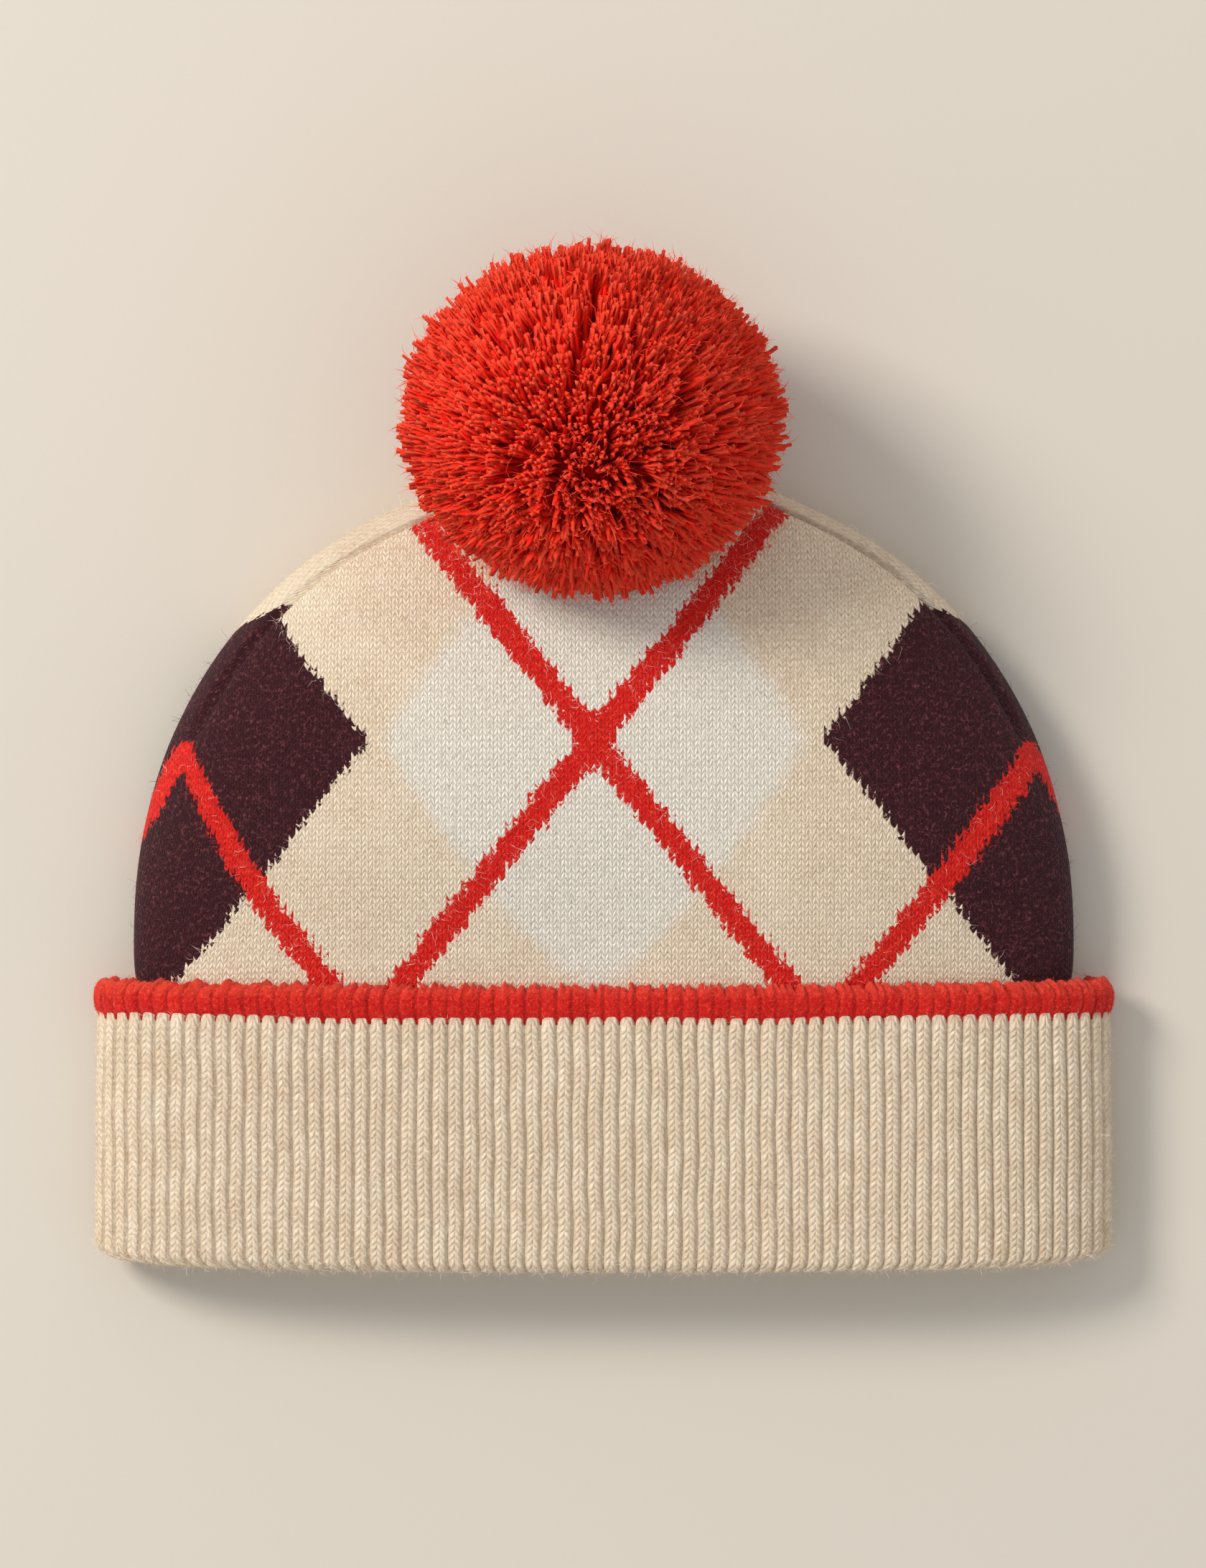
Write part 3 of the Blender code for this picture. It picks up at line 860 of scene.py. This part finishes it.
def partedTips(ways):
    # Strands lean away from each parting
    draw = np.random.default_rng(12)
    more = []
    for place in evenWays(pompom["morePartings"], draw):
        run, wide = draw.normal(size=3), draw.uniform(*pompom["partingWidths"])
        more.append((place, run, wide, draw.uniform(*pompom["partingDepths"])))
    for place, run, wide, deep in pompom["partings"] + more:
        place = np.array(place) / np.linalg.norm(place)
        run = np.array(run) / np.linalg.norm(run)
        side = np.cross(place, run)
        side /= np.linalg.norm(side)
        off = ways - place
        across, length = off @ side, off @ run
        near = np.exp(-(across / wide) ** 2 - (length / (wide * pompom["partingLength"])) ** 2)
        ways = ways + side * (np.sign(across) * near * deep)[:, None]
    return ways / np.linalg.norm(ways, axis=1, keepdims=True)


def tintedPiece(name, points, faces, shade):
    # A new mesh with a colour at each corner
    mesh = bpy.data.meshes.new(name)
    mesh.from_pydata(points.reshape(-1, 3).tolist(), [], faces)
    colours = np.ones((*points.shape[:-1], 4))
    colours[..., :3] = shade
    tint = mesh.color_attributes.new("tint", "FLOAT_COLOR", "POINT")
    tint.data.foreach_set("color", colours.ravel())
    piece = bpy.data.objects.new(name, mesh)
    bpy.context.scene.collection.objects.link(piece)
    return piece


def strandMesh(name, paths, radii, sides, shade):
    # Tubes along the paths, closed at their outer ends, all in one mesh
    count, steps = paths.shape[:2]
    along = np.gradient(paths, axis=1)
    along /= np.maximum(np.linalg.norm(along, axis=2, keepdims=True), 1e-9)
    side = np.cross(along, np.array([0.31, 0.47, 0.83]))
    side /= np.maximum(np.linalg.norm(side, axis=2, keepdims=True), 1e-9)
    other = np.cross(along, side)
    turns = np.arange(sides) / sides * 2 * np.pi
    twist = np.arange(steps)[:, None] * 0.9
    cos = np.cos(turns + twist)[None, :, :, None]
    sin = np.sin(turns + twist)[None, :, :, None]
    outwards = side[:, :, None] * cos + other[:, :, None] * sin
    points = paths[:, :, None] + radii[:, :, None, None] * outwards
    corner = np.arange(count * steps * sides).reshape(count, steps, sides)
    following = np.roll(corner, -1, axis=2)
    quads = np.stack([corner[:, :-1], following[:, :-1], following[:, 1:], corner[:, 1:]], axis=-1)
    caps = corner[:, -1]
    piece = tintedPiece(name, points, quads.reshape(-1, 4).tolist() + caps.tolist(), shade[:, :, None])
    piece.data.shade_smooth()
    return piece


def ribbonMesh(name, paths, width, shade, draw):
    # Flat tapering fibres: a quad and a tip each
    count = len(paths)
    along = paths[:, 2] - paths[:, 0]
    side = np.cross(along, draw.normal(size=(count, 3)) * 0.5 + np.array([0, 0, 1.0]))
    side /= np.maximum(np.linalg.norm(side, axis=1, keepdims=True), 1e-12)
    half = side * width[:, None] / 2
    taper = half * 0.8
    root, bend, end = paths[:, 0], paths[:, 1], paths[:, 2]
    points = np.stack([root - half, root + half, bend + taper, bend - taper, end], axis=1)
    corner = np.arange(count)[:, None] * 5
    quads, tips = corner + np.array([0, 1, 2, 3]), corner + np.array([3, 2, 4])
    return tintedPiece(name, points, quads.tolist() + tips.tolist(), shade[:, None])


def tintFinish(name, sheen):
    f = Finish(name, 0.85, sheen)
    tint = f.node("ShaderNodeAttribute", {"attribute_name": "tint"})
    fine = f.noise(1400, 3, rough=0.7)
    return f.finish(f.dimmed(tint, 0.78 + fine * 0.5), fine, 0.4, 0.0003)


def blendTones(share, *tones):
    # Colours along a scale from 0 to 1
    stops = np.linspace(0, 1, len(tones))
    return np.stack([np.interp(share, stops, [tone[k] for tone in tones]) for k in range(3)], axis=-1)


def strandPaths(draw):
    # The strands fan out from the core to a ball and lie over the crown and the table
    middle, size, core = (np.array(pompom[name]) for name in ("middle", "size", "core"))
    count = pompom["strands"]
    ways = evenWays(count, draw)
    clumps = evenWays(pompom["clumps"], draw)
    nearest = np.argmax(ways @ clumps.T, axis=1)
    ways = ways + (clumps[nearest] - ways) * pompom["clumping"] * draw.random((count, 1))
    ways = partedTips(ways / np.linalg.norm(ways, axis=1, keepdims=True))
    clumpReach = draw.normal(0, pompom["clumpUneven"], pompom["clumps"])[nearest]
    reach = pompom["reach"] + pompom["uneven"] * (0.6 * clumpReach + draw.normal(0, 0.45, count))
    tips = middle + ways * size / 2 * np.minimum(reach, pompom["longest"])[:, None]
    sway = draw.normal(0, pompom["sway"], (count, 3))
    level = np.sqrt(np.maximum(0, 1 - ways[:, 2] ** 2))
    sway[:, 2] += pompom["rise"] * level * np.minimum(1, 1.2 + ways[:, 2])
    share = np.array(pompom["along"])[None, :, None]
    paths = core + (tips - core)[:, None] * share + sway[:, None] * np.sin(share * np.pi)
    ceiling = crownCeiling(paths[..., 0], paths[..., 1])
    lowest = np.where(ceiling > 0, ceiling + pompom["overCrown"], pompom["overTable"])
    sunk = lowest - paths[..., 2]
    paths[..., 2] = np.maximum(paths[..., 2], lowest)
    return paths[sunk[:, -1] < pompom["deepest"]]


def makeHeart():
    # A rough ball behind the strands
    nothingSelected()
    bpy.ops.mesh.primitive_ico_sphere_add(subdivisions=5, radius=1)
    heart = bpy.context.object
    heart.name = "pompom_heart"
    spots = np.array([vertex.co[:] for vertex in heart.data.vertices])
    x, y, z = spots.T
    share = pompom["heartShare"] + pompom["heartLumps"] * np.sin(23 * x + 17 * y) * np.sin(19 * z + 11 * x)
    spots = spots * np.array(pompom["size"]) / 2 * share[:, None] + np.array(pompom["middle"])
    ceiling = crownCeiling(spots[:, 0], spots[:, 1]) + pompom["overTable"]
    spots[:, 2] = np.maximum(spots[:, 2], ceiling)
    heart.data.vertices.foreach_set("co", spots.ravel())
    heart.data.update()
    bpy.ops.object.shade_smooth()
    # The heart's darker reds are painted shade of the strands deep inside the ball
    f = Finish("pompomHeartShade", 0.95, 0.0)
    deep = f.noise(700, 4)
    colour = f.mixed(deep, yarns["pompomHeartShade"], yarns["pompomDeep"])
    finishPiece(heart, f.finish(colour, deep, 1.0, 0.001), "pompom_yarn", "pompom")


def makeFluff(paths, draw):
    # Loose fibres where the yarn's cut ends open
    count = pompom["fibres"]
    picked = draw.integers(0, len(paths), count)
    start, end = paths[picked, -2], paths[picked, -1]
    way = (end - start) / np.linalg.norm(end - start, axis=1, keepdims=True)
    off = np.cross(way, draw.normal(size=start.shape))
    length = draw.uniform(*pompom["fibreLengths"], (count, 1))
    root = end - way * pompom["fibreFoot"] + off * pompom["thick"] * 0.5
    bend = root + way * length + off * length * 0.2
    tip = root + (way + off * 0.55) * length * 1.9
    fibres = np.stack([root, bend, tip], axis=1)
    fibres[..., 2] = np.maximum(fibres[..., 2], 0.0004)
    shade = blendTones(draw.uniform(*pompom["fibreTones"], count), *pompomTones)
    width = draw.uniform(*pompom["fibreWidths"], count)
    fluff = ribbonMesh("pompom_fluff", fibres, width, shade, draw)
    finishPiece(fluff, tintFinish("pompomFluff", 0.0), "pompom_yarn")


def makePompom():
    say("pompom")
    draw = np.random.default_rng(11)
    paths = strandPaths(draw)
    thickness = draw.uniform(*pompom["thickness"], (len(paths), 1))
    radii = pompom["thick"] * np.array(pompom["width"]) * thickness
    # Each strand darkens towards its root: painted shade deep in the ball
    tone = np.array(pompom["tone"]) + draw.normal(0, pompom["toneUneven"], (len(paths), 1))
    shade = blendTones(np.clip(tone, 0, 1), *pompomTones)
    yarn = strandMesh("pompom_yarn", paths, radii, pompom["sides"], shade)
    finishPiece(yarn, tintFinish("pompomYarn", 0.0), "pompom_yarn", "pompom")
    makeHeart()
    makeFluff(paths, draw)


# Loose wool fibres

wool = {
    # How many fibres each piece has, how long they are and how high they stand
    "crown_fuzz": {"count": 38000, "reach": 0.0034, "lift": 0.0010, "slot": "crown_knit", "seed": 21},
    "crown_back_fuzz": {"count": 9000, "reach": 0.0034, "lift": 0.0012, "slot": "crown_knit", "seed": 22},
    "cuff_fuzz": {"count": 26000, "reach": 0.0026, "lift": 0.0008, "slot": "rib_knit", "seed": 23},
    "tipping_fuzz": {"count": 34000, "reach": 0.0020, "lift": 0.0013, "slot": "tipping_knit", "seed": 24},
    "standing": (0.22, 2.4),  # how many stand up, and how much higher they are
    "rooted": 0.0003,
    "widths": (0.00004, 0.00009),
    "sheen": 0.3,
    "strayRed": 0.20,       # how many fibres on the red lines are of another colour
    "fewerAtTop": 0.6,
}


def surfaceSpots(points, stitches, count, draw, weight=None):
    # Random places on a grid of points, with the way out of it and the stitch there
    rows, columns = points.shape[:2]
    if weight is None:
        at = draw.random((count, 2)) * (rows - 1.001, columns - 1.001)
    else:
        row = draw.choice(rows - 1, count, p=weight[:-1] / weight[:-1].sum())
        at = np.stack([row + draw.random(count), draw.random(count) * (columns - 1.001)], axis=1)
    low = at.astype(int)
    share = at - low

    def pick(grid):
        a, b = grid[low[:, 0], low[:, 1]], grid[low[:, 0], low[:, 1] + 1]
        c, d = grid[low[:, 0] + 1, low[:, 1]], grid[low[:, 0] + 1, low[:, 1] + 1]
        x, y = share[:, 1:], share[:, :1]
        return (a * (1 - x) + b * x) * (1 - y) + (c * (1 - x) + d * x) * y

    across = points[low[:, 0], low[:, 1] + 1] - points[low[:, 0], low[:, 1]]
    along = points[low[:, 0] + 1, low[:, 1]] - points[low[:, 0], low[:, 1]]
    out = np.cross(across, along)
    out /= np.maximum(np.linalg.norm(out, axis=1, keepdims=True), 1e-12)
    return pick(points), out, pick(stitches)


def fuzz(name, surface, shadeOf, weight=None):
    say(name)
    kind = wool[name]
    count = kind["count"]
    draw = np.random.default_rng(kind["seed"])
    spots, out, stitches = surfaceSpots(*surface, count, draw, weight)
    flat = draw.normal(size=(count, 3))
    flat -= out * np.sum(flat * out, axis=1, keepdims=True)
    flat /= np.linalg.norm(flat, axis=1, keepdims=True)
    length = kind["reach"] * draw.uniform(0.35, 1.0, (count, 1)) ** 1.4
    rise = kind["lift"] * draw.uniform(0.15, 1.0, (count, 1)) ** 2
    share, higher = wool["standing"]
    rise *= np.where(draw.random((count, 1)) < share, higher, 1.0)
    turned = np.cross(out, flat) * draw.normal(0, 0.5, (count, 1))
    root = spots - out * wool["rooted"]
    bend = spots + flat * length * 0.5 + out * rise
    end = spots + (flat + turned) * length + out * rise * draw.uniform(0.2, 1.3, (count, 1))
    paths = np.stack([root, bend, end], axis=1)
    paths[..., 2] = np.maximum(paths[..., 2], 0.0001)
    width = draw.uniform(*wool["widths"], count)
    piece = ribbonMesh(name, paths, width, shadeOf(stitches, draw), draw)
    finishPiece(piece, tintFinish(name + "Wool", wool["sheen"]), kind["slot"])


def crownShade(stitches, draw):
    # The colour of the stitch that a fibre grows on
    wale, course = np.floor(stitches[:, 0]) + 0.5, np.floor(stitches[:, 1]) + 0.5
    cream, dark, red = (mask[:, None] for mask in argyleMasks(wale, course))
    chance = draw.random(len(stitches))
    base = blendTones(chance, yarns["oatmealDeep"], yarns["oatmeal"], yarns["cream"])
    darks = blendTones(chance ** 2, yarns["dark"], yarns["darkFibre"])
    reds = blendTones(chance, yarns["redDeep"], yarns["red"], yarns["redPale"])
    shade = base * (1 - cream) + np.array(yarns["cream"][:3]) * cream
    shade = shade * (1 - dark) + darks * dark
    shade = shade * (1 - red) + reds * red
    stray = (draw.random((len(stitches), 1)) < wool["strayRed"]) * (red > 0)
    return np.where(stray, blendTones(chance, yarns["redPale"], yarns["cream"]), shade)


def plainShade(*names):
    tones = [yarns[name] for name in names]
    return lambda stitches, draw: blendTones(draw.random(len(stitches)), *tones)


def makeFuzz(crownFront, crownBack, cuffFace, tippingFace):
    frontRows = np.linspace(1, wool["fewerAtTop"], len(crownFront[0]))
    fuzz("crown_fuzz", crownFront, crownShade, frontRows)
    fuzz("crown_back_fuzz", crownBack, crownShade)
    fuzz("cuff_fuzz", cuffFace, plainShade("ribDeep", "rib", "ribPale"))
    fuzz("tipping_fuzz", tippingFace, plainShade("redDeep", "red", "redPale"))


def makeTie():
    # The thread under the pompom keeps its solid
    f = Finish("tieThread")
    fine = f.noise(1500)
    colour = f.mixed(fine, yarns["pompomDeep"], yarns["pompom"])
    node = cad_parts["pompom_tie"]
    node.data.materials.clear()
    node.data.materials.append(f.finish(colour, fine, 0.5))


# Table, lights and camera

view = {
    "pixel": 0.000169,
    "across": -1,           # the middle of the picture from the middle of the hat, in its pixels
    "down": -667,           # and from the ends of the fold
    "pictureHeight": 2184,
    "level": 0.010,         # the height at which a pixel has that size
    "lens": 150,
    "sensor": 36,
}
table = {
    "size": 14,
    "drop": 0.0004,         # how far it lies under the hat
    "colour": linear(223, 214, 200),
}
lights = {
    "sky": 0.60,
    "skyColour": (0.95, 0.97, 1.0, 1.0),
    "lampPlace": (-1.50, 1.00, 1.50),
    "lampSize": 0.75,
    "lampPower": 38,
    "lampColour": (1.0, 0.97, 0.92),
}


def makeStage():
    say("stage")
    nothingSelected()
    bpy.ops.mesh.primitive_plane_add(size=table["size"], location=(0, 0, -table["drop"]))
    top = bpy.context.object
    top.name = "table"
    f = Finish("tablePlain", 0.95, 0.0)
    f.finish(table["colour"], f.noise(900, 2), 0.05)
    top.data.materials.append(f.material)


def makeCamera():
    # It looks straight down
    say("camera")
    far = view["pixel"] * view["pictureHeight"] * view["lens"] / view["sensor"]
    across = view["across"] * view["pixel"]
    along = foldY - view["down"] * view["pixel"]
    bpy.ops.object.camera_add(location=(across, along, view["level"] + far), rotation=(0, 0, 0))
    camera = bpy.context.object
    camera.data.lens = view["lens"]
    camera.data.sensor_width = view["sensor"]
    bpy.context.scene.camera = camera


def makeLights():
    say("lights")
    world = bpy.data.worlds.new("softRoom")
    world.use_nodes = True
    sky = world.node_tree.nodes["Background"]
    sky.inputs["Color"].default_value = lights["skyColour"]
    sky.inputs["Strength"].default_value = lights["sky"]
    bpy.context.scene.world = world
    bpy.context.scene.view_settings.view_transform = "Standard"
    place = Vector(lights["lampPlace"])
    bpy.ops.object.light_add(type="AREA", location=place)
    lamp = bpy.context.object
    lamp.name = "windowLight"
    lamp.data.size = lights["lampSize"]
    lamp.data.energy = lights["lampPower"]
    lamp.data.color = lights["lampColour"]
    lamp.rotation_euler = (-place).to_track_quat("-Z", "Y").to_euler()


makeStage()
makeCamera()
makeLights()
crownFront, crownBack = makeCrown()
cuffFace = makeCuff()
tippingFace = makeTipping()
makePompom()
makeFuzz(crownFront, crownBack, cuffFace, tippingFace)
makeTie()

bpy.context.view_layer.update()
say("done")
